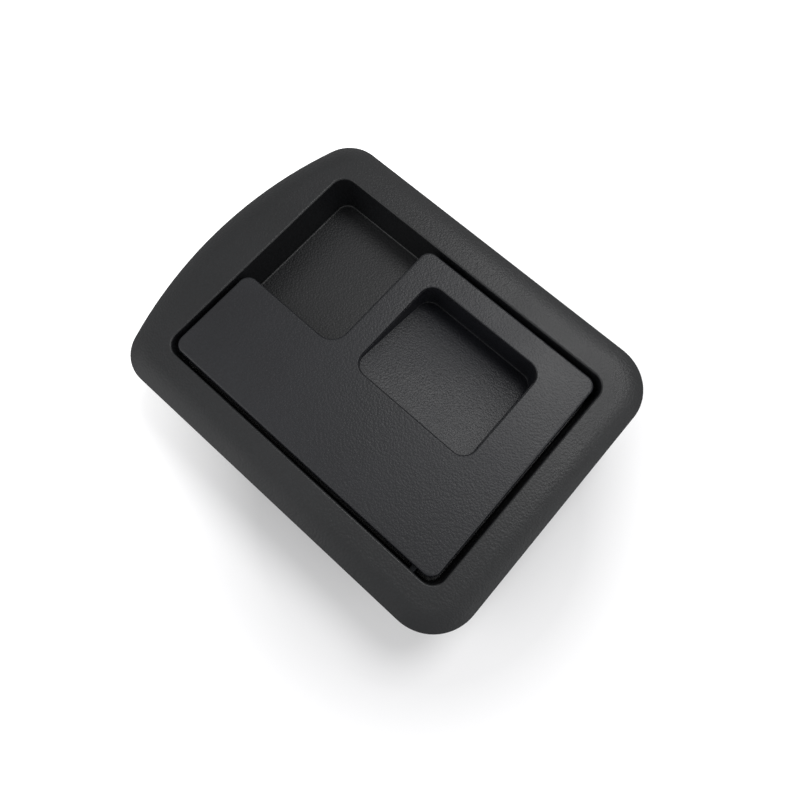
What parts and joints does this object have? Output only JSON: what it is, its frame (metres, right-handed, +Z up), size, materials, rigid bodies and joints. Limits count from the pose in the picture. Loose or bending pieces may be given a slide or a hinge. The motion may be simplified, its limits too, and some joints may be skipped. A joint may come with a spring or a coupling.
{
  "type": "recessed pull handle",
  "caption": "Flush recessed pull handle: a bowed bezel and tub for a floor panel, with a sprung lifting flap, a finger notch and a bolt that the flap draws back.",
  "frame": {"origin": "centre of the four mounting bosses, on the plane of the bezel's underside, which rests on the panel", "axes": "+Z up out of the panel, +Y from the bowed front edge to the straight hinge edge, +X to the right seen from the front"},
  "size_m": [0.0976, 0.1282, 0.0265],
  "materials": {
    "housing_plastic": "fine pebble grain, black",
    "flap_plastic": "fine pebble grain, black",
    "pin_steel": "bright drawn steel",
    "spring_steel": "spring wire",
    "spring_steel_2": "spring wire",
    "bolt_plastic": "smooth moulded",
    "cover_plastic": "smooth moulded",
    "stop_rubber_1": "black rubber",
    "stop_rubber_2": "black rubber",
    "screw_steel_1": "zinc plated",
    "screw_steel_2": "zinc plated",
    "screw_steel_3": "zinc plated",
    "screw_steel_4": "zinc plated"
  },
  "bodies": {
    "frame": {"housing": "housing_plastic", "hinge_pin": "pin_steel", "flap_spring": "spring_steel", "bolt_spring": "spring_steel_2", "latch_cover": "cover_plastic", "cover_screw_1": "screw_steel_1", "cover_screw_2": "screw_steel_2", "cover_screw_3": "screw_steel_3", "cover_screw_4": "screw_steel_4", "front_stop": "stop_rubber_1", "side_stop": "stop_rubber_2"},
    "flap": {"flap": "flap_plastic"},
    "bolt": {"latch_bolt": "bolt_plastic"}
  },
  "joints": [
    {"name": "flap_hinge", "type": "hinge", "parent": "frame", "child": "flap", "pos_m": [0, 0.0428, -0.0025], "axis": [-1, 0, 0], "range_deg": [0, 50], "stiffness_Nm_per_rad": 0.02, "springref_deg": -28.65, "deforming": ["flap_spring"]},
    {"name": "bolt_slide", "type": "slide", "parent": "frame", "child": "bolt", "axis": [0, -1, 0], "range_m": [0, 0.0069], "stiffness_N_per_m": 60, "springref_m": -0.006, "deforming": ["bolt_spring"]}
  ],
  "couplings": [
    {"joint": "bolt_slide", "follows": "flap_hinge", "m_per_rad": 0.0079}
  ]
}
